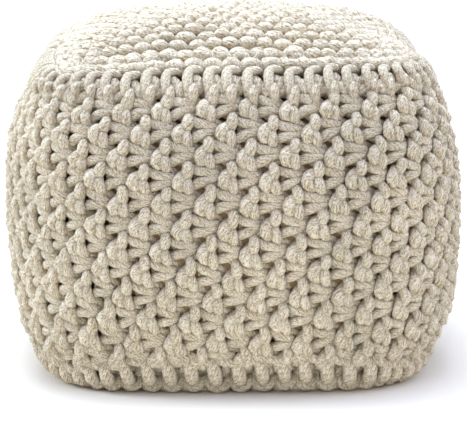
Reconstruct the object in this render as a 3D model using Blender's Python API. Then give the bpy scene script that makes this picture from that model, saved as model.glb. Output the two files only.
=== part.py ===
"""Knitted pouf, modelled as the filled soft solid that it is.

A moss-stitch band closed into a ring makes the four bulging sides. A crowned
square panel closes the top, a flat one the bottom, and a crocheted cord joins
each panel to the band. Metres, +Z up, front towards -Y. The origin is on the
floor, under the middle of the pouf.

Every outline is a superellipse, |x/h|^n + |y/h|^n = 1, with half-width h and
squareness n: nearly a square at the seams, much rounder at the bulge.
"""

import math

import bmesh
import bpy

# Driving dimensions
WIDTH = 0.453              # across the bulge, both ways, before the lumps
SEAM_HEIGHT = 0.3125       # top seam above the floor
CROWN = 0.037              # rise of the top panel's middle above the top seam
BULGE_HEIGHT = 0.1615      # height of the widest place of the sides
TOP_SEAM_HALF = 0.168      # half-width of the square that the top seam follows
BOTTOM_SEAM_HALF = 0.180   # the same for the bottom seam
UNDERSIDE_HALF = 0.176     # half-width at which the lower curve of the sides would meet the floor
PANEL_THICKNESS = 0.014    # one layer of knitting in this yarn
CORD_RADIUS = 0.006        # seam cord
GAP = 0.0003               # between neighbouring pieces
LAYER_GAP = 0.0006         # under the crowned panel, whose facets meet the band's at a slant

LOWER_FULLNESS = 1.85      # 2 is a quarter of an ellipse, more is fuller
UPPER_FULLNESS = 1.8
TOP_SQUARENESS = 6.5
BOTTOM_SQUARENESS = 4.8
BULGE_SQUARENESS = 3.3
CENTRE_SQUARENESS = 2.0    # innermost rings of the panels are round

POINTS = 64                # around every outline
SIDE_STEPS = 7             # rings on the lower and on the upper half of the sides
LOWER_START = math.radians(19.3)   # where the side curve leaves the bottom seam's groove
UPPER_END = math.radians(11.4)     # where it reaches the top seam's groove
CROWN_RINGS = (0.86, 0.68, 0.46, 0.22)
FLAT_RINGS = (0.66, 0.33)

# The line that each seam's cord follows: (half-width, squareness, height)
TOP_SEAM_LINE = (TOP_SEAM_HALF, TOP_SQUARENESS, SEAM_HEIGHT - CORD_RADIUS)
BOTTOM_SEAM_LINE = (BOTTOM_SEAM_HALF, BOTTOM_SQUARENESS, 0.0073)
RIM = -(CORD_RADIUS + GAP)         # a panel's rim lies this far inside its seam's line

# Grooves that hold the cords: (distance outside the seam's line, height from the cord's middle)
TOP_GROOVE = ((0.0, -0.0070), (0.0070, -0.0042), (0.0076, 0.0015))
BOTTOM_GROOVE = ((0.0, 0.0069), (0.0056, 0.0053), (0.0070, 0.0017))

# Unevenness of the filling: (place, x, y, z, reach, push x, push y, push z)
LUMPS = (
    ("front left corner of the top sags", -0.160, -0.160, 0.3125, 0.085, 0.000, 0.000, -0.008),
    ("back left corner of the top, full", -0.125, 0.150, 0.3125, 0.090, 0.000, 0.000, 0.009),
    ("back right corner of the top, full", 0.125, 0.150, 0.3125, 0.090, 0.000, 0.000, 0.010),
    ("upper right shoulder, slack", 0.205, -0.020, 0.2745, 0.055, -0.008, 0.000, 0.000),
    ("left side, full above the middle", -0.220, -0.040, 0.2445, 0.060, -0.005, 0.000, 0.000),
    ("right side, full below the middle", 0.205, -0.050, 0.056, 0.055, 0.009, 0.000, 0.000),
    ("lower left corner, full", -0.175, -0.140, 0.0345, 0.050, -0.004, -0.002, 0.000),
    ("back, slack at one side", 0.110, 0.225, 0.1095, 0.080, 0.000, -0.004, 0.000),
)
FLAT_BELOW = 0.015         # the lumps move nothing below this height
FREE_ABOVE = 0.045         # and are whole above this one

YARN = (0.76, 0.69, 0.57, 1.0)             # undyed cotton, linear
YARN_IN_SEAM = (0.72, 0.65, 0.53, 1.0)
YARN_ROUGHNESS = 0.9


def push_at(point):
    """How far the lumps push a place, each fading with distance. What lies on the floor stays flat."""
    push = [0.0, 0.0, 0.0]
    free = min(1.0, max(0.0, (point[2] - FLAT_BELOW) / (FREE_ABOVE - FLAT_BELOW)))
    for _place, cx, cy, cz, reach, *lump_push in LUMPS:
        distance_2 = (point[0] - cx) ** 2 + (point[1] - cy) ** 2 + (point[2] - cz) ** 2
        fade = math.exp(-distance_2 / reach ** 2) * free
        push = [have + fade * more for have, more in zip(push, lump_push)]
    return push


def moved(point, push):
    """A point moved by a push."""
    return tuple(value + step for value, step in zip(point, push))


def outline(half, squareness, height, outside=0.0, rides_at=None):
    """Ring of points of one outline, moved outside it along its normal, lumps included.

    A ring that rides at a height takes the lumps' push from the outline itself at that
    height, so that everything round a seam moves as one and keeps its gaps.
    """
    ring = []
    for index in range(POINTS):
        angle = 2 * math.pi * index / POINTS
        c, s = math.cos(angle), math.sin(angle)
        radius = half * (abs(c) ** squareness + abs(s) ** squareness) ** (-1 / squareness)
        normal_x = math.copysign(abs(c) ** (squareness - 1), c)
        normal_y = math.copysign(abs(s) ** (squareness - 1), s)
        step = outside / math.hypot(normal_x, normal_y)
        point = (radius * c + step * normal_x, radius * s + step * normal_y, height)
        source = point if rides_at is None else (radius * c, radius * s, rides_at)
        ring.append(moved(point, push_at(source)))
    return ring


def side_ring(end_half, end_squareness, end_height, beta, fullness):
    """Outline on the curve of the sides, from its end at beta 0 to the bulge at a right angle.

    Half-width and height follow a Lame curve, a quarter of an ellipse with its own fullness.
    """
    out = math.sin(beta) ** (2 / fullness)
    along = math.cos(beta) ** (2 / fullness)
    half = end_half + (WIDTH / 2 - end_half) * out
    squareness = end_squareness + (BULGE_SQUARENESS - end_squareness) * out
    return outline(half, squareness, BULGE_HEIGHT + (end_height - BULGE_HEIGHT) * along)


def side_rings():
    """Rings of the bulging sides, from the bottom seam's groove up to the top seam's."""
    rings = []
    for step in range(SIDE_STEPS + 1):
        beta = LOWER_START + (math.pi / 2 - LOWER_START) * step / SIDE_STEPS
        rings.append(side_ring(UNDERSIDE_HALF, BOTTOM_SQUARENESS, 0.0, beta, LOWER_FULLNESS))
    for step in range(1, SIDE_STEPS + 1):
        beta = math.pi / 2 - (math.pi / 2 - UPPER_END) * step / SIDE_STEPS
        rings.append(side_ring(TOP_SEAM_HALF, TOP_SQUARENESS, SEAM_HEIGHT, beta, UPPER_FULLNESS))
    return rings


def panel_rings(seam_line, fractions, base, crown):
    """Rings of a panel's surface from its rim to near its middle, which rises by the crown."""
    half, squareness, cord_height = seam_line
    rings = [outline(half, squareness, base, RIM, cord_height)]
    for fraction in fractions:
        rounder = CENTRE_SQUARENESS + (squareness - CENTRE_SQUARENESS) * fraction
        height = base + crown * (1 - fraction ** 2)
        rings.append(outline((half + RIM) * fraction, rounder, height))
    return rings


def groove_rings(groove, seam_line):
    """Rings that pass round the inner side of a seam's cord."""
    half, squareness, cord_height = seam_line
    return [outline(half, squareness, cord_height + rise, out, cord_height) for out, rise in groove]


def centre_shift():
    """How far the lumps move the middle of the widest outline, so that it can be moved back."""
    points = [point for ring in side_rings() for point in ring]
    middle_x = (max(p[0] for p in points) + min(p[0] for p in points)) / 2
    middle_y = (max(p[1] for p in points) + min(p[1] for p in points)) / 2
    return (-middle_x, -middle_y, 0.0)


def principled(name, colour):
    """Plain finish for one piece."""
    material = bpy.data.materials.new(name)
    material.use_nodes = True
    shader = material.node_tree.nodes["Principled BSDF"]
    shader.inputs["Base Color"].default_value = colour
    shader.inputs["Roughness"].default_value = YARN_ROUGHNESS
    shader.inputs["Metallic"].default_value = 0.0
    return material


def loft(name, rings, bottom, top, material, collection, shift):
    """Closed solid through the rings, in order from the bottom middle to the top middle."""
    form = bmesh.new()
    lowest = form.verts.new(moved(bottom, shift))
    rows = [[form.verts.new(moved(point, shift)) for point in ring] for ring in rings]
    highest = form.verts.new(moved(top, shift))
    for index in range(POINTS):
        after = (index + 1) % POINTS
        form.faces.new((lowest, rows[0][after], rows[0][index]))
        for lower, upper in zip(rows, rows[1:]):
            form.faces.new((lower[index], lower[after], upper[after], upper[index]))
        form.faces.new((rows[-1][index], rows[-1][after], highest))
    bmesh.ops.recalc_face_normals(form, faces=form.faces)
    mesh = bpy.data.meshes.new(name)
    form.to_mesh(mesh)
    form.free()
    mesh.shade_smooth()
    mesh.materials.append(material)
    piece = bpy.data.objects.new(name, mesh)
    collection.objects.link(piece)
    return piece


def cord(name, points, material, collection, shift):
    """Closed ring of round cord along a line of points."""
    curve = bpy.data.curves.new(name, "CURVE")
    curve.dimensions = "3D"
    curve.bevel_depth = CORD_RADIUS
    curve.bevel_resolution = 2
    spline = curve.splines.new("POLY")
    spline.points.add(len(points) - 1)
    for control, point in zip(spline.points, points):
        control.co = (*moved(point, shift), 1.0)
    spline.use_cyclic_u = True
    spline.use_smooth = True
    curve.materials.append(material)
    piece = bpy.data.objects.new(name, curve)
    collection.objects.link(piece)
    return piece


def side_band(collection, shift):
    """The filled band: flat under the bottom panel's top, bulging sides, crowned under the top panel."""
    under_top = SEAM_HEIGHT - PANEL_THICKNESS - LAYER_GAP
    over_bottom = PANEL_THICKNESS + GAP
    rings = panel_rings(BOTTOM_SEAM_LINE, FLAT_RINGS, over_bottom, 0.0)[::-1]
    rings += groove_rings(BOTTOM_GROOVE, BOTTOM_SEAM_LINE)
    rings += side_rings()
    rings += groove_rings(TOP_GROOVE, TOP_SEAM_LINE)[::-1]
    rings += panel_rings(TOP_SEAM_LINE, CROWN_RINGS, under_top, CROWN)
    return loft("side_band", rings, (0, 0, over_bottom), (0, 0, under_top + CROWN),
                principled("band_yarn", YARN), collection, shift)


def panel(name, seam_line, fractions, underside, crown, collection, shift):
    """A knitted square of one thickness, with the same crown on both faces."""
    face = underside + PANEL_THICKNESS
    rings = panel_rings(seam_line, fractions, underside, crown)[::-1]
    rings += panel_rings(seam_line, fractions, face, crown)
    return loft(name, rings, (0, 0, underside + crown), (0, 0, face + crown),
                principled(name + "_yarn", YARN), collection, shift)


def seam(name, seam_line, collection, shift):
    """The crocheted cord that joins a panel to the band."""
    return cord(name, outline(*seam_line), principled(name + "_yarn", YARN_IN_SEAM), collection, shift)


def main():
    for thing in list(bpy.data.objects):
        bpy.data.objects.remove(thing, do_unlink=True)
    collection = bpy.data.collections.new("knitted_pouf")
    bpy.context.scene.collection.children.link(collection)

    shift = centre_shift()
    side_band(collection, shift)
    panel("top_panel", TOP_SEAM_LINE, CROWN_RINGS, SEAM_HEIGHT - PANEL_THICKNESS, CROWN, collection, shift)
    panel("bottom_panel", BOTTOM_SEAM_LINE, FLAT_RINGS, 0.0, 0.0, collection, shift)
    seam("top_seam", TOP_SEAM_LINE, collection, shift)
    seam("bottom_seam", BOTTOM_SEAM_LINE, collection, shift)


main()
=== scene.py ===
"""Knitted pouf: the looks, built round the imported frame.

Every strand is one tube of yarn that follows its real way through the knitting. A
stitch is a short list of places in course, wale and depth. Repeated, smoothed and
laid on the curved form of the pouf, it gives the moss stitch of the band and the
purl bumps of the panels. The chain and the posts of the joining rounds are laid the
same way.
"""

import math

import bmesh
import bpy
import numpy as np
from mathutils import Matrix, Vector


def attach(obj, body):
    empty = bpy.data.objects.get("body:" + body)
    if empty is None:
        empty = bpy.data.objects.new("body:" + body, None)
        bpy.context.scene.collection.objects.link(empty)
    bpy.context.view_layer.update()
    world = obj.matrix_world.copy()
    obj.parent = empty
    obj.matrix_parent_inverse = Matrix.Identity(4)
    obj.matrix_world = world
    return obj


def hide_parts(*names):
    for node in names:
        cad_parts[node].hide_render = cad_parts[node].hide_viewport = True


bl_info = {
    "name": "Knitted Pouf",
    "version": (1, 0, 0),
    "blender": (4, 5, 0),
    "location": "View3D > Sidebar > Pouf",
    "description": "Moss-stitch pouf with crocheted joining seams, laid strand by strand",
    "category": "Add Mesh",
}

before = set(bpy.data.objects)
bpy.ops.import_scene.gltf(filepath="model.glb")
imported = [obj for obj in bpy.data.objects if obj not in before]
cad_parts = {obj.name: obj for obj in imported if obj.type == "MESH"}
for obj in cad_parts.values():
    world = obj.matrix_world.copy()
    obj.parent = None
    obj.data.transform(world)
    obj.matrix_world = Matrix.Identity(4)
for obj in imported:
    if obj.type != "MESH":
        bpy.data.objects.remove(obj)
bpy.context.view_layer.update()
ROOT = "root"

# How the form curves between its driving sizes. 2 is a circle or a quarter of an ellipse.
LOWER_FULLNESS = 1.85
UPPER_FULLNESS = 1.8
TOP_SQUARENESS = 6.5
BOTTOM_SQUARENESS = 4.8
BULGE_SQUARENESS = 3.3
CENTRE_SQUARENESS = 2.0
GATHER_TOP = 0.21          # how far the stitches crowd towards the corners at the top seam
GATHER_BOTTOM = 0.15       # and at the bottom seam

# Unevenness of the filling: (place, x, y, z, reach, push x, push y, push z)
LUMPS = (
    ("front left corner of the top sags", -0.160, -0.160, 0.3125, 0.085, 0, 0, -0.008),
    ("back left corner of the top, full", -0.125, 0.150, 0.3125, 0.090, 0, 0, 0.009),
    ("back right corner of the top, full", 0.125, 0.150, 0.3125, 0.090, 0, 0, 0.010),
    ("upper right shoulder, slack", 0.205, -0.020, 0.2745, 0.055, -0.008, 0, 0),
    ("left side, full above the middle", -0.220, -0.040, 0.2445, 0.060, -0.005, 0, 0),
    ("right side, full below the middle", 0.205, -0.050, 0.056, 0.055, 0.009, 0, 0),
    ("lower left corner, full", -0.175, -0.140, 0.0345, 0.050, -0.004, -0.002, 0),
    ("back, slack at one side", 0.110, 0.225, 0.1095, 0.080, 0, -0.004, 0),
)
FLAT_BELOW = 0.015         # the lumps move nothing below this height
FREE_ABOVE = 0.045         # and are whole above this one
PRESSED = 0.0005           # the floor presses the lowest strands flat at this height

SIDES = ("front", "left", "back", "right")
COURSES = 19               # upright rows of stitches on each side of the band
WALES = 14                 # stitches in each of them, counted from 1; posts cross the first and the last
PHASE = 0.40               # how far the stitches stand past the corner, in courses
PANEL_COURSES = 18         # rows of stitches on the top and on the bottom panel
PANEL_WALES = 20           # stitches in each of them
BOTTOM_LOOPS = 70          # loops of the bottom's joining round

# How the band's stitches settle on the form. Lengths go up the side's curve, in metres.
WALE_START = 0.0002        # where stitch 0 stands
WALE_HEIGHT = 0.0230
WALE_TIGHTENING = 0.000013  # taken off, times the square of the stitch's number
CORNER_RISE = 0.00525      # half of what the stitches ride up at the corners
CORNER_RISE_WALE = 5       # the stitch that rides up most
CORNER_RISE_REACH = 2.9    # in stitches
LEVEL_START, LEVEL_HEIGHT = 0.0045, 0.02276
LOWEST_LEVEL = 1.2         # the courses change no more below it
LEAN, LEAN_LEVEL = 0.0072, 12.1
SPREAD, SPREAD_LEVEL, MOST_SPREAD = 0.0075, 8.3, 0.03

# Random straying of the stitches, as shares of the band's
BAND_SEED, PANEL_SEED, SEAM_SEED = 7, 11, 19
DRIFT_MARGIN = 2           # stitches by which the random grid is larger at each end
SEAM_ROWS = 4              # rows of it that the joining rounds draw
WIDTH_STRAY = 0.6          # of the width, to the places
PANEL_STRAY = 1.6
SEAM_STRAY, SEAM_CORNER_STRAY = 0.8, 1.2  # along the courses, and how much more at corners
SEAM_RISE_STRAY, SEAM_CORNER_RISE_STRAY = 0.02, 0.03  # up and down, in metres

# How deep the strands lie, in yarn depths
BAND_SINK = 1.9
LOW_WALE, LOW_SINK = 2.0, 1.5            # deeper below this stitch, behind the bottom's posts
HIGH_WALE, HIGH_SINK = WALES - 0.7, 0.3  # and above this one, behind the top's posts
POSTS_FLATTEN = 0.4        # share of its relief that the band loses there
PANEL_EDGE, PANEL_EDGE_WIDTH = 0.46, 0.04  # of a panel's rim, as shares of its side
PANEL_EDGE_SINK = 0.1
PANEL_STRAND = 1.12        # thickness of the panels' strands, to the band's
PANEL_INSET = 0.006        # metres from the bottom seam to the bottom panel's stitches
PANEL_PLACE = 0.25         # where the first stitch of a panel's row stands, in stitches
PANEL_MOVED = 0.5          # and how far every other row is moved

# Grids and steps
CURVE_STEPS = 600          # of each half of the sides' curve
CURVE_PLACES = 320         # of all of it, evenly
FLAT_STEPS = 60            # of the flat places before it and of the panel's rim after it
FLAT_FROM, FLAT_TO = 0.70, 0.995  # shares of the underside that they cover
RIM_SET_IN = 0.03          # the panel's rim is this share further in
COLUMNS_A_COURSE = 8
OUTLINE_STEPS = 2880
PANEL_GRID = 121
RING_ROUNDS = 30           # to find the ring of a panel's place
SMOOTH_STEPS = 6           # between two keys of a strand
BAND_STEPS, CHAIN_STEPS, POST_STEPS = 28, 24, 16  # in one stitch, one loop, one post
STRAND_SIDES = 8
STRAND_FLATNESS = 0.92     # thickness of a strand to its width
STRAND_END = 0.6           # how far the point at its end stands out, in radii
LANE_END, LANE_SIDE = 0.002, 0.04  # margins of a strand's lane in the baking map
CORNERS = ((0, 0), (1, 0), (1, 1), (0, 1))  # of a face: steps round the tube and along it

# The two stitches, from the yarn below to the yarn above. Course is along the knitting,
# which runs leftwards round the band, wale is upwards, depth is outwards, and width is
# the strand's share of the yarn's thickness.
KNIT_STITCH = (
    # (place, course, wale, depth, width)
    ("foot behind", -0.82, -0.20, -0.90, 0.84),
    ("comes to the front", -0.97, -0.02, -0.35, 0.76),
    ("lower leg", -0.77, -0.07, 0.20, 0.80),
    ("crosses the head before", -0.46, -0.15, 0.45, 0.94),
    ("leg spreads", -0.14, -0.23, 0.40, 0.98),
    ("goes under the next foot", 0.14, -0.35, -0.10, 0.90),
    ("under the next foot", 0.38, -0.41, -0.55, 0.88),
    ("head rises", 0.62, -0.43, 0.15, 1.00),
    ("lower side of the head", 0.80, -0.35, 0.80, 1.10),
    ("head", 0.87, -0.20, 1.15, 1.12),
    ("upper side of the head", 0.78, -0.02, 0.95, 1.10),
    ("head falls", 0.62, 0.12, 0.30, 0.98),
    ("under the next upper foot", 0.38, 0.27, -0.45, 0.90),
    ("leg comes out", 0.12, 0.35, 0.15, 0.90),
    ("upper leg", -0.14, 0.25, 0.50, 0.98),
    ("upper leg crosses the head before", -0.46, 0.18, 0.55, 0.94),
    ("legs meet", -0.77, 0.12, 0.25, 0.80),
    ("goes to the back", -0.97, 0.10, -0.35, 0.76),
    ("upper foot behind", -0.82, 0.24, -0.90, 0.84),
)
PURL_STITCH = (
    ("comes to the front", -0.66, -0.66, 0.00, 0.85),
    ("lower foot", -0.62, -0.52, 0.75, 0.95),
    ("middle of the lower foot", -0.57, -0.35, 1.05, 1.00),
    ("lower foot turns in", -0.53, -0.14, 0.80, 0.94),
    ("goes behind the head before", -0.47, -0.02, -0.05, 0.80),
    ("lower leg", -0.32, -0.10, -0.85, 0.85),
    ("leg spreads", -0.05, -0.22, -0.90, 0.90),
    ("shoulder over the next foot", 0.25, -0.37, -0.30, 0.90),
    ("upper shoulder", 0.50, -0.37, -0.45, 0.95),
    ("head rises", 0.84, -0.20, -0.90, 0.85),
    ("head", 1.00, -0.06, -0.50, 0.92),
    ("head falls", 0.84, 0.14, -0.90, 0.85),
    ("far shoulder", 0.50, 0.36, -0.45, 0.95),
    ("far shoulder over the next foot", 0.25, 0.37, -0.30, 0.90),
    ("upper leg", -0.05, 0.22, -0.90, 0.90),
    ("legs meet", -0.34, 0.10, -0.85, 0.85),
    ("comes out beside the head before", -0.50, 0.00, -0.05, 0.82),
    ("upper foot turns up", -0.56, 0.12, 0.85, 0.98),
    ("middle of the upper foot", -0.60, 0.27, 1.15, 1.05),
    ("upper foot", -0.63, 0.44, 0.90, 0.98),
    ("goes to the back again", -0.60, 0.60, 0.05, 0.85),
)

# The panels' purl bump
PANEL_STITCH = (
    ("foot turns in", -0.50, -0.18, 0.35, 0.88),
    ("goes behind the head before", -0.46, -0.05, -0.40, 0.80),
    ("leg spreads", -0.10, -0.20, -0.80, 0.90),
    ("shoulder", 0.40, -0.34, -0.70, 0.95),
    ("head rises", 0.84, -0.20, -0.70, 0.95),
    ("head", 1.00, 0.00, -0.50, 1.00),
    ("head falls", 0.84, 0.20, -0.70, 0.95),
    ("far shoulder", 0.40, 0.34, -0.70, 0.95),
    ("leg comes back", -0.10, 0.20, -0.80, 0.90),
    ("comes out beside the head before", -0.46, 0.05, -0.40, 0.82),
    ("foot turns out", -0.50, 0.18, 0.35, 0.92),
    ("foot", -0.56, 0.31, 1.00, 1.20),
    ("middle of the foot", -0.58, 0.50, 1.10, 1.30),
    ("far side of the foot", -0.56, 0.69, 1.00, 1.20),
)


class PoufForm(bpy.types.PropertyGroup):
    """Driving sizes of the filled form, the same as the solids have."""
    width: bpy.props.FloatProperty(
        name="Width", description="Across the bulge, both ways", default=0.453, unit="LENGTH")
    seam_height: bpy.props.FloatProperty(
        name="Seam height", description="Top seam above the floor", default=0.3125, unit="LENGTH")
    crown: bpy.props.FloatProperty(
        name="Crown", description="Rise of the top's middle above the seam", default=0.037, unit="LENGTH")
    bulge_height: bpy.props.FloatProperty(
        name="Bulge height", description="Height of the widest place", default=0.1615, unit="LENGTH")
    top_seam_half: bpy.props.FloatProperty(
        name="Top seam", description="Half-width of the square the top seam follows",
        default=0.168, unit="LENGTH")
    bottom_seam_half: bpy.props.FloatProperty(
        name="Bottom seam", description="Half-width of the square the bottom seam follows",
        default=0.180, unit="LENGTH")
    underside_half: bpy.props.FloatProperty(
        name="Underside", description="Half-width at which the sides would meet the floor",
        default=0.176, unit="LENGTH")


class PoufYarn(bpy.types.PropertyGroup):
    """The yarn and how it is knitted."""
    thickness: bpy.props.FloatProperty(
        name="Thickness", description="Diameter of the slack yarn", default=0.0106, unit="LENGTH")
    depth: bpy.props.FloatProperty(
        name="Depth", description="How far strands rise and sink where they cross",
        default=0.0055, unit="LENGTH")
    unevenness: bpy.props.FloatProperty(
        name="Unevenness", description="How far stitches stray, as a share of one", default=0.09,
        subtype="FACTOR")
    cotton: bpy.props.StringProperty(
        name="Cotton", description="Undyed yarn, sRGB", default="#E9DBC0")
    # Painted shade: the darker, browner colour that the creases between plies and fibres take, together
    # with random specks of tone
    cotton_painted_shade: bpy.props.StringProperty(
        name="Cotton shade", description="Between its fibres, sRGB", default="#A2865A")
    # Inner: painted shade; the back of the knitting is the same cotton, coloured darker and browner for the
    # shade between the strands
    inner: bpy.props.StringProperty(
        name="Inner", description="Back of the knitting, seen between strands, sRGB", default="#8A6F50")


class PoufStudio(bpy.types.PropertyGroup):
    """Floor, light and camera."""
    floor: bpy.props.StringProperty(
        name="Floor", description="Pale paper, sRGB", default="#DFD5C4")
    distance: bpy.props.FloatProperty(
        name="Distance", description="Camera to the middle of the pouf", default=1.844, unit="LENGTH")
    elevation: bpy.props.FloatProperty(
        name="Elevation", description="Camera above the horizon", default=math.radians(10.45),
        subtype="ANGLE")
    yaw: bpy.props.FloatProperty(
        name="Yaw", description="Camera to the right of the front", default=math.radians(-1.1),
        subtype="ANGLE")
    lens: bpy.props.FloatProperty(
        name="Lens", description="Focal length in millimetres", default=138.3)


# ---- form


def superellipse(angle, half, squareness):
    """Places on |x/half|^n + |y/half|^n = 1, by angle round the middle."""
    c, s = np.cos(angle), np.sin(angle)
    radius = half * (np.abs(c) ** squareness + np.abs(s) ** squareness) ** (-1 / squareness)
    return radius * c, radius * s


def lumps_at(place):
    """Push of the uneven filling: each lump's push times exp(-(distance / reach)^2)."""
    free = np.clip((place[..., 2:] - FLAT_BELOW) / (FREE_ABOVE - FLAT_BELOW), 0, 1)
    push = np.zeros_like(place)
    for _place, x, y, z, reach, *lump_push in LUMPS:
        distance_2 = ((place - (x, y, z)) ** 2).sum(-1, keepdims=True)
        push += np.exp(-distance_2 / reach ** 2) * free * lump_push
    return push


def unit(vectors):
    """Vectors made one long."""
    return vectors / np.maximum(np.linalg.norm(vectors, axis=-1, keepdims=True), 1e-9)


def read_between(grid, column, row):
    """Values between the points of a grid, by linear weights. Columns go round."""
    rows, columns = grid.shape[:2]
    i0, j0 = np.floor(column).astype(int), np.minimum(row.astype(int), rows - 2)
    a, b = (column - i0)[..., None], (row - j0)[..., None]
    left, right = i0 % columns, (i0 + 1) % columns
    low = grid[j0, left] * (1 - a) + grid[j0, right] * a
    high = grid[j0 + 1, left] * (1 - a) + grid[j0 + 1, right] * a
    return low * (1 - b) + high * b


class Surface:
    """A grid of places with outward directions, read between its points by linear weights.

    It is addressed by two numbers that run evenly from the first to the last row and
    column. A closed surface joins its last column to its first.
    """

    def __init__(self, places, column_range, row_range, closed):
        self.places = places
        self.columns, self.rows, self.closed = column_range, row_range, closed
        if closed:
            ahead, behind = np.roll(places, -1, axis=1), np.roll(places, 1, axis=1)
            along = ahead - behind
        else:
            along = np.gradient(places, axis=1)
        self.outward = unit(np.cross(np.gradient(places, axis=0), along))

    def at(self, column, row, out):
        """Places and outward directions at a column and a row, moved outwards."""
        rows, columns = self.places.shape[:2]
        span = columns if self.closed else columns - 1
        i = (column - self.columns[0]) / (self.columns[1] - self.columns[0]) * span
        if not self.closed:
            i = np.clip(i, 0, span)
        j = np.clip((row - self.rows[0]) / (self.rows[1] - self.rows[0]), 0, 1) * (rows - 1)
        outward = unit(read_between(self.outward, i, j))
        return read_between(self.places, i, j) + outward * out[..., None], outward


def side_curve(form):
    """The sides' profile at even steps, from the underside, up over the bulge, onto the top.

    Each half is a quarter of a superellipse: the half-width grows with sin^(2/fullness)
    and the height closes on the bulge with cos^(2/fullness). Flat places on the underside
    come before it, and the crowned top's rim after it. Returns half-width, squareness,
    height, gather and length, which is 0 where the lower curve meets the floor.
    """
    beta = np.linspace(0, math.pi / 2, CURVE_STEPS)
    parts = []
    for end_half, end_height, end_squareness, fullness, gather in (
            (form.underside_half, 0.0, BOTTOM_SQUARENESS, LOWER_FULLNESS, GATHER_BOTTOM),
            (form.top_seam_half, form.seam_height, TOP_SQUARENESS, UPPER_FULLNESS, GATHER_TOP)):
        out = np.sin(beta) ** (2 / fullness)
        along = np.cos(beta) ** (2 / fullness)
        parts.append(np.stack([
            end_half + (form.width / 2 - end_half) * out,
            end_squareness + (BULGE_SQUARENESS - end_squareness) * out,
            form.bulge_height + (end_height - form.bulge_height) * along,
            gather * (1 - out) ** 2], axis=-1))
    share = np.linspace(FLAT_FROM, FLAT_TO, FLAT_STEPS)[:, None]
    under = share * [form.underside_half, 0, 0, 0] + [0, BOTTOM_SQUARENESS, 0, GATHER_BOTTOM]
    share = share[::-1, 0] - RIM_SET_IN
    over = np.stack([share * form.top_seam_half,
                     CENTRE_SQUARENESS + (TOP_SQUARENESS - CENTRE_SQUARENESS) * share,
                     form.seam_height + form.crown * (1 - share ** 2),
                     np.full(len(share), GATHER_TOP)], axis=-1)
    curve = np.concatenate([under, parts[0], parts[1][-2::-1], over])
    steps = np.hypot(np.diff(curve[:, 0]), np.diff(curve[:, 2]))
    length = np.concatenate([[0], np.cumsum(steps)])
    length -= length[len(under)]
    even = np.linspace(length[0], length[-1], CURVE_PLACES)
    return [np.interp(even, length, column) for column in curve.T] + [even]


def seam_length(form):
    """Length up the side's curve at the top seam."""
    _halves, _squarenesses, heights, _gathers, lengths = side_curve(form)
    return lengths[np.argmax(heights >= form.seam_height - 1e-5)]


def side_surface(form):
    """The sides. Columns count courses leftwards from the front right corner.

    Rows are metres up the sides' curve. The gather crowds the columns towards the corners.
    """
    halves, squarenesses, heights, gathers, lengths = side_curve(form)
    columns = len(SIDES) * COURSES * COLUMNS_A_COURSE
    share = np.arange(columns) / columns * len(SIDES)
    side = np.floor(share)
    sigma = 2 * (share - side) - 1
    fine = np.linspace(0, 2 * math.pi, OUTLINE_STEPS + 1) + math.pi / 4
    rows = []
    for half, squareness, height, gather in zip(halves, squarenesses, heights, gathers):
        x, y = superellipse(fine, half, squareness)
        length = np.concatenate([[0], np.cumsum(np.hypot(np.diff(x), np.diff(y)))])
        moved = sigma * (1 + gather * (1 - sigma ** 2))
        wanted = (side + (moved + 1) / 2) / len(SIDES)
        angle = np.interp(wanted, length / length[-1], fine)
        x, y = superellipse(-angle, half, squareness)
        rows.append(np.stack([x, y, np.full(columns, height)], axis=-1))
    places = np.array(rows)
    places += lumps_at(places)
    return Surface(places, (0, len(SIDES) * COURSES), (lengths[0], lengths[-1]), True)


def panel_surface(half, squareness, base, crown, facing):
    """A square panel. Columns run across it and rows from the front to the back, from 0 to 1.

    Places keep an even grid, drawn in to the superellipse towards the rim. The height is
    base + crown * (1 - fraction^2), where fraction is the ring that the place is on.
    Facing is 1 for the top, whose columns run leftwards, and -1 for the underside.
    """
    across, back = np.meshgrid(np.linspace(facing, -facing, PANEL_GRID), np.linspace(-1, 1, PANEL_GRID))
    angle = np.arctan2(back, across)
    ring = np.maximum(np.abs(across), np.abs(back))
    x, y = superellipse(angle, 1.0, squareness)
    square = np.maximum(np.abs(np.cos(angle)), np.abs(np.sin(angle)))
    draw = (np.hypot(x, y) * square) ** (ring ** 3)
    x, y = across * draw, back * draw
    fraction = np.hypot(x, y)
    for _ in range(RING_ROUNDS):
        power = CENTRE_SQUARENESS + (squareness - CENTRE_SQUARENESS) * np.minimum(fraction, 1)
        fraction = 0.5 * fraction + 0.5 * (np.abs(x) ** power + np.abs(y) ** power) ** (1 / power)
    height = base + crown * (1 - np.minimum(fraction, 1) ** 2)
    places = np.stack([half * x, half * y, height], axis=-1)
    places += lumps_at(places)
    return Surface(places, (0, 1), (0, 1), False)


def centre_shift(form):
    """How far the lumps move the middle of the widest outline, so that it can be moved back."""
    places = side_surface(form).places
    middle = (places.max(axis=(0, 1)) + places.min(axis=(0, 1))) / 2
    return np.array([-middle[0], -middle[1], 0.0])


# ---- strands


def smooth_through(points, steps):
    """Cubic curves through rows of points, with so many steps in each gap.

    At each point, a curve's pace for one gap is half the way from the point before to
    the point after.
    """
    first = 2 * points[:, :1] - points[:, 1:2]
    last = 2 * points[:, -1:] - points[:, -2:-1]
    padded = np.concatenate([first, points, last], axis=1)
    t = np.arange(steps) / steps
    weights = 0.5 * np.stack([-t + 2 * t ** 2 - t ** 3, 2 - 5 * t ** 2 + 3 * t ** 3,
                              t + 4 * t ** 2 - 3 * t ** 3, -t ** 2 + t ** 3])
    gaps = points.shape[1] - 1
    curve = sum(padded[:, k:k + gaps, None] * weights[k][:, None] for k in range(4))
    curve = curve.reshape(len(points), gaps * steps, -1)
    return np.concatenate([curve, points[:, -1:]], axis=1)


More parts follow.
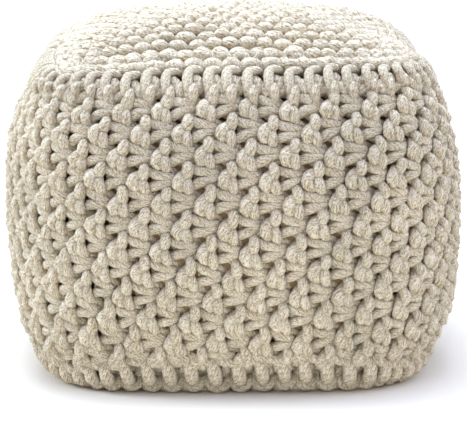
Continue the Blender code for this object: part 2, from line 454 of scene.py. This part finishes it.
def even_steps(path, values, count):
    """Each path, and the values that go with it, read again at equal steps along its length."""
    rows = []
    for line, extra in zip(path, values):
        length = np.concatenate([[0], np.cumsum(np.linalg.norm(np.diff(line, axis=0), axis=1))])
        even = np.linspace(0, length[-1], count)
        both = np.concatenate([line, extra], axis=1)
        rows.append(np.stack([np.interp(even, length, column) for column in both.T] + [even], axis=-1))
    return np.array(rows)


class Strands:
    """Strands of yarn of one piece: paths with their outward directions and radii."""

    def __init__(self):
        self.batches = []

    def lay(self, surface, keys, count, yarn):
        """Smooths rows of (column, row, out, width) and lays them on a surface as strands.

        Column and row address the surface, out is metres outwards and width is the
        strand's share of the yarn's thickness.
        """
        fine = smooth_through(keys, SMOOTH_STEPS)
        place, outward = surface.at(fine[..., 0], fine[..., 1], fine[..., 2])
        values = np.concatenate([outward, fine[..., 3:4]], axis=-1)
        rows = even_steps(place, values, count)
        self.batches.append((rows[..., :3], unit(rows[..., 3:6]), rows[..., 6] * yarn.thickness / 2,
                             rows[..., 7]))

    def mesh(self, name, sides, shift):
        """One mesh of tubes: a ring of points round each place of a path, a point at each end.

        A ring's point is place + radius * (cos * sideways + flatness * sin * upwards), where
        sideways is at right angles to the path and to the outward direction. The first
        map gives each strand a lane. The second has metres of yarn and turns round it.
        """
        points, quads, quad_maps, triangles, triangle_maps = [], [], [], [], []
        start, lane = 0, 0
        lanes = sum(len(batch[0]) for batch in self.batches)
        angle = np.arange(sides) / sides * 2 * math.pi
        for place, outward, radius, length in self.batches:
            strands, count = place.shape[:2]
            tangent = unit(np.gradient(place, axis=1))
            sideways = unit(np.cross(tangent, outward))
            upwards = np.cross(sideways, tangent)
            ring = (np.cos(angle)[:, None] * sideways[:, :, None]
                    + STRAND_FLATNESS * np.sin(angle)[:, None] * upwards[:, :, None])
            ring = place[:, :, None] + radius[:, :, None, None] * ring
            points += [ring.reshape(-1, 3),
                       place[:, 0] - tangent[:, 0] * radius[:, :1] * STRAND_END,
                       place[:, -1] + tangent[:, -1] * radius[:, -1:] * STRAND_END]

            s, i, j = np.meshgrid(np.arange(strands), np.arange(count - 1), np.arange(sides),
                                  indexing="ij")
            side = (lane + s + LANE_SIDE) / lanes
            wide = (1 - 2 * LANE_SIDE) / sides / lanes
            step = (1 - 2 * LANE_END) / (count - 1)
            quads.append(np.stack([start + (s * count + i + ahead) * sides + (j + turn) % sides
                                   for turn, ahead in CORNERS], -1).reshape(-1, 4))
            quad_maps.append((map_rows([(LANE_END + step * (i + ahead), side + wide * (j + turn))
                                        for turn, ahead in CORNERS]),
                              map_rows([(length[s, i + ahead], (j + turn) / sides)
                                        for turn, ahead in CORNERS])))

            s, j, side = s[:, 0], j[:, 0], side[:, 0]
            for end, tip_u, rim_u, turns in ((0, 0.0, LANE_END, (0.5, 1, 0)),
                                             (1, 1.0, 1 - LANE_END, (0.5, 0, 1))):
                tip = start + strands * (count * sides + end) + s
                rim = start + (s * count + end * (count - 1)) * sides
                triangles.append(np.stack([tip, *(rim + (j + turn) % sides for turn in turns[1:])],
                                          -1).reshape(-1, 3))
                triangle_maps.append((map_rows([(u + 0 * side, side + wide * (j + turn))
                                                for u, turn in zip((tip_u, rim_u, rim_u), turns)]),
                                      map_rows([(length[s, -end], (j + turn) / sides)
                                                for turn in turns])))
            start += strands * (count * sides + 2)
            lane += strands
        places = np.concatenate(points) + shift
        places[:, 2] = np.maximum(places[:, 2], PRESSED)
        maps = [np.concatenate(rows) for rows in zip(*quad_maps, *triangle_maps)]
        return make_mesh(name, places, np.concatenate(quads), np.concatenate(triangles), maps)


def map_rows(corners):
    """Places in a map, face by face, from the two grids that each corner has."""
    return np.stack([np.stack(pair, -1) for pair in corners], -2).reshape(-1, 2)


def make_mesh(name, points, quads, triangles, maps):
    """A smooth mesh from arrays of points, faces with four and with three corners, and maps."""
    mesh = bpy.data.meshes.new(name)
    loops = np.concatenate([quads.ravel(), triangles.ravel()])
    starts = np.concatenate([np.arange(len(quads)) * 4,
                             len(quads) * 4 + np.arange(len(triangles)) * 3])
    mesh.vertices.add(len(points))
    mesh.vertices.foreach_set("co", points.astype(np.float32).ravel())
    mesh.loops.add(len(loops))
    mesh.loops.foreach_set("vertex_index", loops.astype(np.int32))
    mesh.polygons.add(len(starts))
    mesh.polygons.foreach_set("loop_start", starts.astype(np.int32))
    mesh.polygons.foreach_set("use_smooth", np.ones(len(starts), bool))
    for layer, rows in zip(("OFBake", "Strand"), maps):
        mesh.uv_layers.new(name=layer).uv.foreach_set("vector", rows.astype(np.float32).ravel())
    mesh.update(calc_edges=True)
    mesh.validate()
    return mesh


def add_object(name, data):
    """Puts a mesh, a lamp or a camera in the scene."""
    thing = bpy.data.objects.new(name, data)
    bpy.context.scene.collection.objects.link(thing)
    return thing


def place_piece(name, mesh, material, slot, *nodes):
    """Puts a piece in the scene with its material, rides it on the pouf's body and hides the solids that it
    stands for.
    """
    mesh.materials.append(material)
    piece = add_object(name, mesh)
    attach(piece, ROOT)
    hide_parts(*nodes)
    return piece


# ---- knitting


def round_the_side(course):
    """Angle that runs from -pi to pi along each side of the pouf."""
    return 2 * math.pi * (course / COURSES - 0.5)


def wale_row(course, wale):
    """Length up the side's curve of a stitch of the band.

    Stitches stand 23 mm apart, and those low at the corners ride up by about half a
    stitch: by rise * (1 - cos(angle round the side)) * exp(-(distance / reach)^2).
    """
    row = WALE_START + WALE_HEIGHT * wale - WALE_TIGHTENING * wale ** 2
    reach = np.exp(-((wale - CORNER_RISE_WALE) / CORNER_RISE_REACH) ** 2)
    return row + CORNER_RISE * (1 - np.cos(round_the_side(course))) * reach


def settled_column(course, row):
    """Column at which a course has settled on the form.

    The courses lean with the square of the levels that are left to the twelfth. They also
    spread from the middle of a side, by spread * COURSES / 2 pi * sin(angle round the
    side), where spread falls with height.
    """
    level = np.maximum((row - LEVEL_START) / LEVEL_HEIGHT, LOWEST_LEVEL)
    lean = -LEAN * np.maximum(LEAN_LEVEL - level, 0) ** 2
    spread = np.minimum(SPREAD * (SPREAD_LEVEL - level), MOST_SPREAD)
    return course + PHASE + lean + spread * np.sin(round_the_side(course)) * COURSES / (2 * math.pi)


class Drift:
    """Slow wandering of the stitches over a piece, the same for all strands at one place.

    Random values stand on a grid one stitch wide and are read between by linear weights.
    """

    def __init__(self, seed, columns, rows, amount):
        rng = np.random.default_rng(seed)
        self.grid = rng.normal(0, amount, (rows + 2 * DRIFT_MARGIN, columns, 4))

    def at(self, column, row):
        """Shift along the course, shift along the wale, depth and width, each as a share."""
        return read_between(self.grid, column, row + DRIFT_MARGIN)


def key_rows(keys):
    """A table of keys as numbers only."""
    return np.array([row[1:] for row in keys])


def courses_of(stitches, courses, wales, moved=0.0):
    """Keys of each course as rows of (course, wale, depth, width), its stitches in order.

    Of two kinds, the first comes where course + wale is odd: that is moss stitch. Every
    other course is moved up by a share of a stitch.
    """
    kinds = [key_rows(stitch) for stitch in stitches]
    return [np.concatenate([kinds[(course + wale + 1) % len(kinds)]
                            + (course, wale + course % 2 * moved, 0, 0) for wale in wales])
            for course in courses]


class POUF_OT_band(bpy.types.Operator):
    """Knits the band, one piece for each side"""
    bl_idname = "pouf.band"
    bl_label = "Band"

    def execute(self, context):
        form, yarn = context.scene.pouf_form, context.scene.pouf_yarn
        surface, shift = side_surface(form), centre_shift(form)
        material = cotton_rope(yarn, "undyed_cotton_rope")
        drift = Drift(BAND_SEED, len(SIDES) * COURSES, WALES, yarn.unevenness)
        for number, side in enumerate(SIDES):
            courses = range(number * COURSES, (number + 1) * COURSES)
            strands = Strands()
            for keys in courses_of((KNIT_STITCH, PURL_STITCH), courses, range(1, WALES + 1)):
                stray = drift.at(keys[:, 0], keys[:, 1])
                course = keys[:, 0] + stray[:, 0]
                row = wale_row(course, keys[:, 1] + stray[:, 1])
                low = np.clip(LOW_WALE - keys[:, 1], 0, 1)
                high = np.clip(keys[:, 1] - HIGH_WALE, 0, 1)
                relief = keys[:, 2] * (1 + stray[:, 2]) * (1 - POSTS_FLATTEN * np.maximum(low, high))
                out = yarn.depth * (relief - BAND_SINK - LOW_SINK * low - HIGH_SINK * high)
                width = keys[:, 3] * (1 + WIDTH_STRAY * stray[:, 3])
                keys = np.stack([settled_column(course, row), row, out, width], -1)
                strands.lay(surface, keys[None], WALES * BAND_STEPS + 1, yarn)
            place_piece(f"band_{side}", strands.mesh(f"band_{side}", STRAND_SIDES, shift), material,
                        "cotton_rope_yarn", "side_band")
        return {"FINISHED"}


PANELS = (
    # (name, relief and sink in yarn depths, steps of a strand in one stitch, its sides)
    ("top_panel", 0.55, 1.0, 26, 8),
    ("bottom_panel", 0.4, 1.15, 18, 6),
)


class POUF_OT_panels(bpy.types.Operator):
    """Knits the crowned top and the flat bottom"""
    bl_idname = "pouf.panels"
    bl_label = "Panels"

    def execute(self, context):
        form, yarn = context.scene.pouf_form, context.scene.pouf_yarn
        shift = centre_shift(form)
        material = cotton_rope(yarn, "undyed_cotton_rope")
        surfaces = {
            "top_panel": panel_surface(form.top_seam_half, TOP_SQUARENESS, form.seam_height, form.crown, 1),
            "bottom_panel": panel_surface(form.bottom_seam_half - PANEL_INSET, BOTTOM_SQUARENESS, 0, 0, -1)}
        for name, relief, sink, steps, sides in PANELS:
            drift = Drift(PANEL_SEED, PANEL_COURSES, PANEL_WALES, yarn.unevenness * PANEL_STRAY)
            strands = Strands()
            for keys in courses_of((PANEL_STITCH,), range(PANEL_COURSES), range(-1, PANEL_WALES),
                                   PANEL_MOVED):
                stray = drift.at(keys[:, 0], keys[:, 1])
                across = (keys[:, 1] + stray[:, 1] + PANEL_PLACE) / PANEL_WALES - 0.5
                back = (keys[:, 0] + stray[:, 0] + 0.5) / PANEL_COURSES - 0.5
                edge = np.maximum(np.abs(across), np.abs(back)) - PANEL_EDGE
                edge = np.clip(edge / PANEL_EDGE_WIDTH, 0, 1)
                height = relief * keys[:, 2] * (1 + stray[:, 2]) - sink - PANEL_EDGE_SINK * edge
                width = PANEL_STRAND * keys[:, 3] * (1 + WIDTH_STRAY * stray[:, 3])
                keys = np.stack([0.5 - across, 0.5 + back, yarn.depth * height, width], -1)
                strands.lay(surfaces[name], keys[None], (PANEL_WALES + 1) * steps + 1, yarn)
            place_piece(name, strands.mesh(name, sides, shift), material, "cotton_rope_yarn", name)
        return {"FINISHED"}


CORNER_SHORTENING = 0.35   # how much shorter the joining rounds' posts are at the corners
CORNER_SHARPNESS = 8       # power of the cosine that says how near a corner is

# Crocheted joining rounds. Course counts their loops leftwards, row is in metres up the
# side's curve, from the top seam or from the floor, depth and width as in the knitting.
TOP_CHAIN = (
    # (place, course, row, depth, width)
    ("comes up", -0.47, -0.0020, -0.70, 0.78),
    ("outer leg", -0.28, -0.0008, 0.60, 0.98),
    ("middle of the outer leg", 0.03, 0.0008, 1.15, 1.08),
    ("outer leg ends", 0.34, -0.0008, 0.60, 0.98),
    ("goes under", 0.50, 0.0010, -0.60, 0.78),
    ("turns back", 0.66, 0.0095, -0.50, 0.80),
    ("inner leg", 0.76, 0.0145, 0.50, 0.95),
    ("middle of the inner leg", 0.50, 0.0165, 1.00, 1.02),
    ("inner leg ends", 0.24, 0.0145, 0.50, 0.95),
    ("goes down", 0.14, 0.0095, -0.50, 0.80),
    ("runs under", 0.35, 0.0040, -1.20, 0.85),
)
TOP_POST = (
    ("under the chain", -0.34, -0.0020, -0.80, 0.66),
    ("arm comes out", -0.24, -0.0082, 0.45, 0.76),
    ("arm", 0.00, -0.0108, 0.85, 0.82),
    ("turns down", 0.20, -0.0132, 0.90, 0.87),
    ("post", 0.28, -0.0190, 1.10, 0.90),
    ("middle of the post", 0.29, -0.0255, 1.10, 0.90),
    ("foot of the post", 0.26, -0.0320, 0.70, 0.85),
    ("into the band", 0.20, -0.0390, -0.60, 0.75),
)
TOP_KNOT = (
    ("from behind the post", 0.14, -0.0250, -0.50, 0.70),
    ("knot rises", 0.08, -0.0300, 0.50, 0.80),
    ("knot", 0.04, -0.0360, 0.95, 0.85),
    ("knot falls", 0.03, -0.0420, 0.45, 0.80),
    ("into the band", 0.05, -0.0475, -0.80, 0.70),
)
TOP_STRAND_BETWEEN = (
    ("behind the post", 0.34, -0.0170, -1.10, 0.80),
    ("comes forward", 0.06, -0.0165, -0.40, 0.90),
    ("between the posts", -0.16, -0.0215, -0.05, 0.95),
    ("turns down", -0.20, -0.0280, -0.10, 0.95),
    ("goes back", -0.02, -0.0335, -0.50, 0.85),
    ("behind the post again", 0.20, -0.0350, -1.20, 0.80),
)
BOTTOM_CHAIN = (
    ("comes out", 0.90, 0.0130, -1.30, 0.75),
    ("rim", 0.74, 0.0095, 0.60, 0.95),
    ("middle of the rim", 0.42, 0.0080, 1.00, 1.10),
    ("rim ends", 0.10, 0.0095, 0.60, 0.95),
    ("goes in", -0.06, 0.0130, -1.30, 0.75),
    ("turns under", -0.02, 0.0040, -0.70, 0.80),
    ("underside leg", 0.12, -0.0040, 0.40, 0.95),
    ("middle of the underside leg", 0.40, -0.0060, 0.70, 1.00),
    ("underside leg ends", 0.70, -0.0040, 0.40, 0.95),
    ("turns in", 0.80, 0.0040, -0.70, 0.80),
    ("runs inside", 0.30, 0.0100, -1.30, 0.80),
)
BOTTOM_POST = (
    ("from the band", 0.58, 0.0480, -0.40, 0.85),
    ("upper end", 0.57, 0.0420, 0.50, 1.10),
    ("post", 0.53, 0.0350, 0.90, 1.25),
    ("foot", 0.50, 0.0280, 0.95, 1.30),
    ("round the chain", 0.47, 0.0215, 0.70, 1.25),
    ("under the chain", 0.42, 0.0150, -0.40, 1.00),
)
BOTTOM_STRAND_BETWEEN = (
    ("from behind the post", 0.44, 0.0500, -0.50, 0.85),
    ("over the hole", 0.20, 0.0485, 0.30, 0.95),
    ("slants down", -0.06, 0.0465, 0.45, 0.95),
    ("reaches the next post", -0.28, 0.0430, 0.10, 0.90),
    ("behind it", -0.44, 0.0380, -0.90, 0.85),
)

SEAMS = (
    # (name, loops, how far aside in courses, sink in yarn depths, chain, direction, other strands)
    ("top_seam", len(SIDES) * COURSES, 0.26, 1.2, TOP_CHAIN, 1,
     (TOP_POST, TOP_KNOT, TOP_STRAND_BETWEEN)),
    ("bottom_seam", BOTTOM_LOOPS, -0.5, 1.75, BOTTOM_CHAIN, -1,
     (BOTTOM_POST, BOTTOM_STRAND_BETWEEN)),
)


def round_the_seam(keys, loops):
    """The same keys once for each loop."""
    return key_rows(keys)[None] + loops[:, None, None] * (1, 0, 0, 0)


class POUF_OT_seams(bpy.types.Operator):
    """Crochets the rounds that join the panels to the band"""
    bl_idname = "pouf.seams"
    bl_label = "Seams"

    def execute(self, context):
        form, yarn = context.scene.pouf_form, context.scene.pouf_yarn
        surface, shift = side_surface(form), centre_shift(form)
        material = cotton_rope(yarn, "seam_cotton_rope")
        starts = {"top_seam": seam_length(form), "bottom_seam": 0.0}
        for name, count, aside, sink, chain, direction, others in SEAMS:
            loops = np.arange(count)
            drift = Drift(SEAM_SEED, count, SEAM_ROWS, yarn.unevenness)
            strands = Strands()
            rounds = [(round_the_seam(chain, loops[::direction]).reshape(1, -1, 4), count * CHAIN_STEPS)]
            rounds += [(round_the_seam(keys, loops), POST_STEPS) for keys in others]
            for keys, steps in rounds:
                stray = drift.at(keys[..., 0], 0 * keys[..., 1])
                course = keys[..., 0] * len(SIDES) * COURSES / count + aside
                corner = np.cos(math.pi * (course + PHASE) / COURSES) ** CORNER_SHARPNESS
                course = course + (SEAM_STRAY + SEAM_CORNER_STRAY * corner) * stray[..., 0]
                rise = (SEAM_RISE_STRAY + SEAM_CORNER_RISE_STRAY * corner) * stray[..., 1]
                row = starts[name] + keys[..., 1] * (1 - CORNER_SHORTENING * corner) + rise
                out = yarn.depth * (keys[..., 2] * (1 + stray[..., 2]) - sink)
                width = keys[..., 3] * (1 + WIDTH_STRAY * stray[..., 3])
                keys = np.stack([settled_column(course, row), row, out, width], -1)
                strands.lay(surface, keys, steps, yarn)
            place_piece(name, strands.mesh(name, STRAND_SIDES, shift), material, "seam_yarn", name)
        return {"FINISHED"}


# ---- finishes


def linear(hex_colour):
    """sRGB hex to linear colour."""
    parts = [int(hex_colour[i:i + 2], 16) / 255 for i in (1, 3, 5)]
    return [p / 12.92 if p <= 0.04045 else ((p + 0.055) / 1.055) ** 2.4 for p in parts] + [1.0]


def node(tree, kind, inputs=(), **settings):
    """Adds a node. Inputs maps its sockets to values or to other nodes' outputs."""
    made = tree.nodes.new(kind)
    for name, value in settings.items():
        setattr(made, name, value)
    for socket, value in dict(inputs).items():
        if isinstance(value, bpy.types.NodeSocket):
            tree.links.new(value, made.inputs[socket])
        else:
            made.inputs[socket].default_value = value
    return made


def new_material(name):
    """An empty node material and its tree."""
    material = bpy.data.materials.new(name)
    material.use_nodes = True
    material.node_tree.nodes.clear()
    return material, material.node_tree


YARN_TWIST = 0.045         # metres of yarn for one turn of its plies
YARN_BUMP = 0.0042         # height of the plies and fibres, in metres
# The painted shade of the creases starts below these heights of the ply and fibre pattern
SHADE_FROM, SHADE_TO = 0.41, 0.54  # heights between which the shade turns to cotton
YARN_PATTERN = (
    # (what, repeats along a metre, scale round the yarn, detail, share of the pattern)
    ("plies", 12.0, 4.0, 1.0, 1.0),
    ("fibres", 70.0, 5.0, 2.0, 1.0),
    ("specks", 150.0, 5.0, 2.0, 2.4),
)


def cotton_rope(yarn, name):
    """Soft cotton rope yarn, loosely twisted from many plies and not dyed.

    Its short fibres scatter light, so it is quite matt with a faint pale fuzz. Streaks of
    plies, about 1.5 mm wide, run along each strand with a slow twist. Between them the colour is painted
    shade: where the pattern lies low, in the creases, it turns darker and browner, which also gives random
    specks of tone.
    """
    if name in bpy.data.materials:
        return bpy.data.materials[name]
    material, tree = new_material(name)
    strand = node(tree, "ShaderNodeUVMap", uv_map="Strand")
    parts = node(tree, "ShaderNodeSeparateXYZ", {0: strand.outputs["UV"]})
    along, turn = parts.outputs["X"], parts.outputs["Y"]
    twist = node(tree, "ShaderNodeMath", {0: along, 1: 2 * math.pi / YARN_TWIST}, operation="MULTIPLY")
    angle = node(tree, "ShaderNodeMath", {0: turn, 1: 2 * math.pi, 2: twist.outputs[0]},
                 operation="MULTIPLY_ADD")
    x, y = (node(tree, "ShaderNodeMath", {0: angle.outputs[0]}, operation=operation).outputs[0]
            for operation in ("COSINE", "SINE"))
    pattern = 0.0
    for _what, repeats, scale, detail, share in YARN_PATTERN:
        z = node(tree, "ShaderNodeMath", {0: along, 1: repeats}, operation="MULTIPLY")
        round_strand = node(tree, "ShaderNodeCombineXYZ", {"X": x, "Y": y, "Z": z.outputs[0]})
        noise = node(tree, "ShaderNodeTexNoise", {
            "Vector": round_strand.outputs[0], "Scale": scale, "Detail": detail, "Roughness": 0.6})
        pattern = node(tree, "ShaderNodeMath", {0: noise.outputs["Fac"], 1: share, 2: pattern},
                       operation="MULTIPLY_ADD").outputs[0]
    shares = sum(row[-1] for row in YARN_PATTERN)
    height = node(tree, "ShaderNodeMath", {0: pattern, 1: 1 / shares}, operation="MULTIPLY").outputs[0]
    # Painted shade: low places of the ply and fibre pattern, the creases, turn darker and browner; the same
    # pattern also gives random specks of tone
    colour = node(tree, "ShaderNodeValToRGB", {"Fac": height})
    for stop, place, hex_colour in zip(colour.color_ramp.elements, (SHADE_FROM, SHADE_TO),
                                       (yarn.cotton_painted_shade, yarn.cotton)):
        stop.position, stop.color = place, linear(hex_colour)
    place = node(tree, "ShaderNodeTexCoord").outputs["Object"]
    tone = node(tree, "ShaderNodeTexNoise", {"Vector": place, "Scale": 14.0, "Detail": 2.0})
    value = node(tree, "ShaderNodeMapRange", {
        "Value": tone.outputs["Fac"], "From Min": 0.35, "From Max": 0.65, "To Min": 0.93, "To Max": 1.05})
    toned = node(tree, "ShaderNodeHueSaturation", {"Color": colour.outputs[0], "Value": value.outputs[0]})
    bump = node(tree, "ShaderNodeBump", {"Height": height, "Strength": 1.0, "Distance": YARN_BUMP})
    shader = node(tree, "ShaderNodeBsdfPrincipled", {
        "Base Color": toned.outputs[0], "Roughness": 0.92, "Sheen Weight": 0.12, "Sheen Roughness": 0.5,
        "Specular IOR Level": 0.2, "Normal": bump.outputs[0]})
    node(tree, "ShaderNodeOutputMaterial", {"Surface": shader.outputs[0]})
    return material


BODY_VOXEL = 0.010         # size of the body's faces
BODY_DEPTH = 0.0155        # the body starts this far inside the solids
BODY_SWELL = 0.004         # and the filling pushes it out by no more than this
BODY_PRESSURE = 4.0
BODY_FRAMES = 20           # of the cloth simulation


class POUF_OT_body(bpy.types.Operator):
    """Fills the pouf: a cloth under pressure, just behind the stitches"""
    bl_idname = "pouf.body"
    bl_label = "Filled body"

    def execute(self, context):
        yarn = context.scene.pouf_yarn
        made = bmesh.new()
        for node_name in ("side_band", "top_panel", "bottom_panel"):
            made.from_mesh(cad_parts[node_name].data)
        mesh = bpy.data.meshes.new("filled_body")
        made.to_mesh(mesh)
        made.free()
        # The back of the knitting: the same cotton, matt, painted darker and browner as shade, for the
        # shade that falls between the strands
        material, tree = new_material("back_of_knitting_painted_shade")
        shader = node(tree, "ShaderNodeBsdfPrincipled",
                      {"Base Color": linear(yarn.inner), "Roughness": 0.95})
        node(tree, "ShaderNodeOutputMaterial", {"Surface": shader.outputs[0]})
        piece = place_piece("filled_body", mesh, material, "cotton_rope_yarn", "side_band")
        remesh = piece.modifiers.new("Remesh", "REMESH")
        remesh.mode, remesh.voxel_size, remesh.use_smooth_shade = "VOXEL", BODY_VOXEL, True
        apply_modifiers(piece)
        start, normals = places_of(piece.data, "vertices"), places_of(piece.data, "vertex_normals")
        start -= normals * BODY_DEPTH
        put_places(piece.data, start)
        cloth = piece.modifiers.new("Cloth", "CLOTH")
        cloth.settings.use_pressure = True
        cloth.settings.uniform_pressure_force = BODY_PRESSURE
        cloth.settings.effector_weights.gravity = 0.0
        for number in range(1, BODY_FRAMES + 1):
            context.scene.frame_set(number)
        apply_modifiers(piece)
        context.scene.frame_set(1)
        moved = places_of(piece.data, "vertices") - start
        length = np.linalg.norm(moved, axis=1, keepdims=True)
        capped = np.minimum(1, BODY_SWELL / np.maximum(length, 1e-9))
        put_places(piece.data, start + moved * capped)
        smoother = piece.modifiers.new("Subdivision", "SUBSURF")
        smoother.levels = smoother.render_levels = 1
        apply_modifiers(piece)
        return {"FINISHED"}


def apply_modifiers(piece):
    """Makes the piece's modifiers part of its mesh."""
    evaluated = piece.evaluated_get(bpy.context.evaluated_depsgraph_get())
    mesh = bpy.data.meshes.new_from_object(evaluated)
    piece.modifiers.clear()
    piece.data = mesh


def places_of(mesh, kind):
    """Places or directions of a mesh's points as rows of x, y, z."""
    rows = np.zeros(len(mesh.vertices) * 3, np.float32)
    getattr(mesh, kind).foreach_get("co" if kind == "vertices" else "vector", rows)
    return rows.reshape(-1, 3).astype(float)


def put_places(mesh, rows):
    """Moves a mesh's points."""
    mesh.vertices.foreach_set("co", rows.astype(np.float32).ravel())
    mesh.update()


# ---- stage


FLOOR_REACH = 30.0
# The sky runs from the horizon's light to the light overhead, by the power of the weighted
# squares of the direction: dark towards the camera, brighter at both sides and overhead.
SKY_WEIGHTS = (0.45, 0.0, 1.0)
SKY_POWER = 2.0
HORIZON_LIGHT = (0.225, 0.18, 0.113, 1.0)
OVERHEAD_LIGHT = (2.95, 3.45, 4.9, 1.0)
COOL_LAMP = (0.78, 0.91, 1.0)
COOLER_LAMP = (0.72, 0.88, 1.0)  # lights the top and the left side
LAMPS = (
    # (name, place, aim, width, height, watts, colour)
    ("overhead softbox", (-0.15, 0.35, 2.1), (0, 0, 0.2), 1.6, 1.6, 36.0, COOLER_LAMP),
    ("left softbox", (-2.5, 0.05, 1.25), (0, 0, 0.2), 0.9, 0.9, 52.0, COOLER_LAMP),
    ("right softbox", (2.5, 0.05, 1.3), (0, 0, 0.2), 0.9, 0.9, 16.0, COOL_LAMP),
    ("low strip in front", (0, -0.45, 0.025), (0, 0, 0.025), 0.6, 0.04, 0.32, COOL_LAMP),
)
CAMERA_ROUND = (0, 0, 0.1695)  # what the camera's distance and angles are measured from
CAMERA_AIM = (0.0016, 0, 0.1359)
SENSOR_WIDTH = 36.0  # millimetres


class POUF_OT_stage(bpy.types.Operator):
    """Sets the floor, the light and the camera"""
    bl_idname = "pouf.stage"
    bl_label = "Stage"

    def execute(self, context):
        studio = context.scene.pouf_studio
        side = FLOOR_REACH
        mesh = bpy.data.meshes.new("floor")
        mesh.from_pydata([(-side, -side, 0), (side, -side, 0), (side, side, 0), (-side, side, 0)],
                         [], [(0, 1, 2, 3)])
        # Matt cream paper: a plain pale ground with hardly any shine
        material, tree = new_material("matt_cream_paper")
        shader = node(tree, "ShaderNodeBsdfPrincipled", {
            "Base Color": linear(studio.floor), "Roughness": 0.9, "Specular IOR Level": 0.2})
        node(tree, "ShaderNodeOutputMaterial", {"Surface": shader.outputs[0]})
        mesh.materials.append(material)
        floor = add_object("floor", mesh)

        world = bpy.data.worlds.new("studio")
        world.use_nodes = True
        tree = world.node_tree
        direction = node(tree, "ShaderNodeTexCoord").outputs["Generated"]
        squares = node(tree, "ShaderNodeVectorMath", {0: direction, 1: direction}, operation="MULTIPLY")
        bright = node(tree, "ShaderNodeVectorMath", {0: squares.outputs[0], 1: SKY_WEIGHTS},
                      operation="DOT_PRODUCT")
        bright = node(tree, "ShaderNodeMath", {0: bright.outputs["Value"], 1: SKY_POWER},
                      operation="POWER", use_clamp=True)
        sky = node(tree, "ShaderNodeMix", {"Factor": bright.outputs[0]}, data_type="RGBA")
        sky.inputs["A"].default_value, sky.inputs["B"].default_value = HORIZON_LIGHT, OVERHEAD_LIGHT
        tree.links.new(sky.outputs["Result"], tree.nodes["Background"].inputs["Color"])
        context.scene.world = world
        for name, place, aim, width, height, watts, colour in LAMPS:
            lamp = bpy.data.lights.new(name, "AREA")
            lamp.shape, lamp.size, lamp.size_y = "ELLIPSE", width, height
            lamp.energy, lamp.color = watts, colour
            point_at(add_object(name, lamp), place, aim)

        camera = add_object("camera", bpy.data.cameras.new("camera"))
        camera.data.lens, camera.data.sensor_width = studio.lens, SENSOR_WIDTH
        e, y = studio.elevation, studio.yaw
        back = np.array([math.sin(y) * math.cos(e), -math.cos(y) * math.cos(e), math.sin(e)])
        point_at(camera, CAMERA_ROUND + studio.distance * back, CAMERA_AIM)
        context.scene.camera = camera
        context.scene.view_settings.view_transform = "Standard"
        return {"FINISHED"}


def point_at(thing, place, aim):
    """Puts a lamp or the camera at a place, facing another."""
    thing.location = place
    thing.rotation_euler = (Vector(aim) - Vector(place)).to_track_quat("-Z", "Y").to_euler()


class POUF_PT_panel(bpy.types.Panel):
    """Lists the pouf's pieces"""
    bl_idname = "POUF_PT_panel"
    bl_label = "Knitted Pouf"
    bl_space_type = "VIEW_3D"
    bl_region_type = "UI"
    bl_category = "Pouf"

    def draw(self, context):
        for operator in OPERATORS:
            self.layout.operator(operator.bl_idname)


OPERATORS = (POUF_OT_body, POUF_OT_band, POUF_OT_panels, POUF_OT_seams, POUF_OT_stage)
GROUPS = {"pouf_form": PoufForm, "pouf_yarn": PoufYarn, "pouf_studio": PoufStudio}


def register():
    for kind in (*GROUPS.values(), *OPERATORS, POUF_PT_panel):
        bpy.utils.register_class(kind)
    for name, group in GROUPS.items():
        setattr(bpy.types.Scene, name, bpy.props.PointerProperty(type=group))


def unregister():
    for name in GROUPS:
        delattr(bpy.types.Scene, name)
    for kind in (POUF_PT_panel, *reversed(OPERATORS), *reversed(GROUPS.values())):
        bpy.utils.unregister_class(kind)


def main():
    register()
    for operator in OPERATORS:
        group, name = operator.bl_idname.split(".")
        getattr(getattr(bpy.ops, group), name)()


if __name__ == "__main__":
    main()
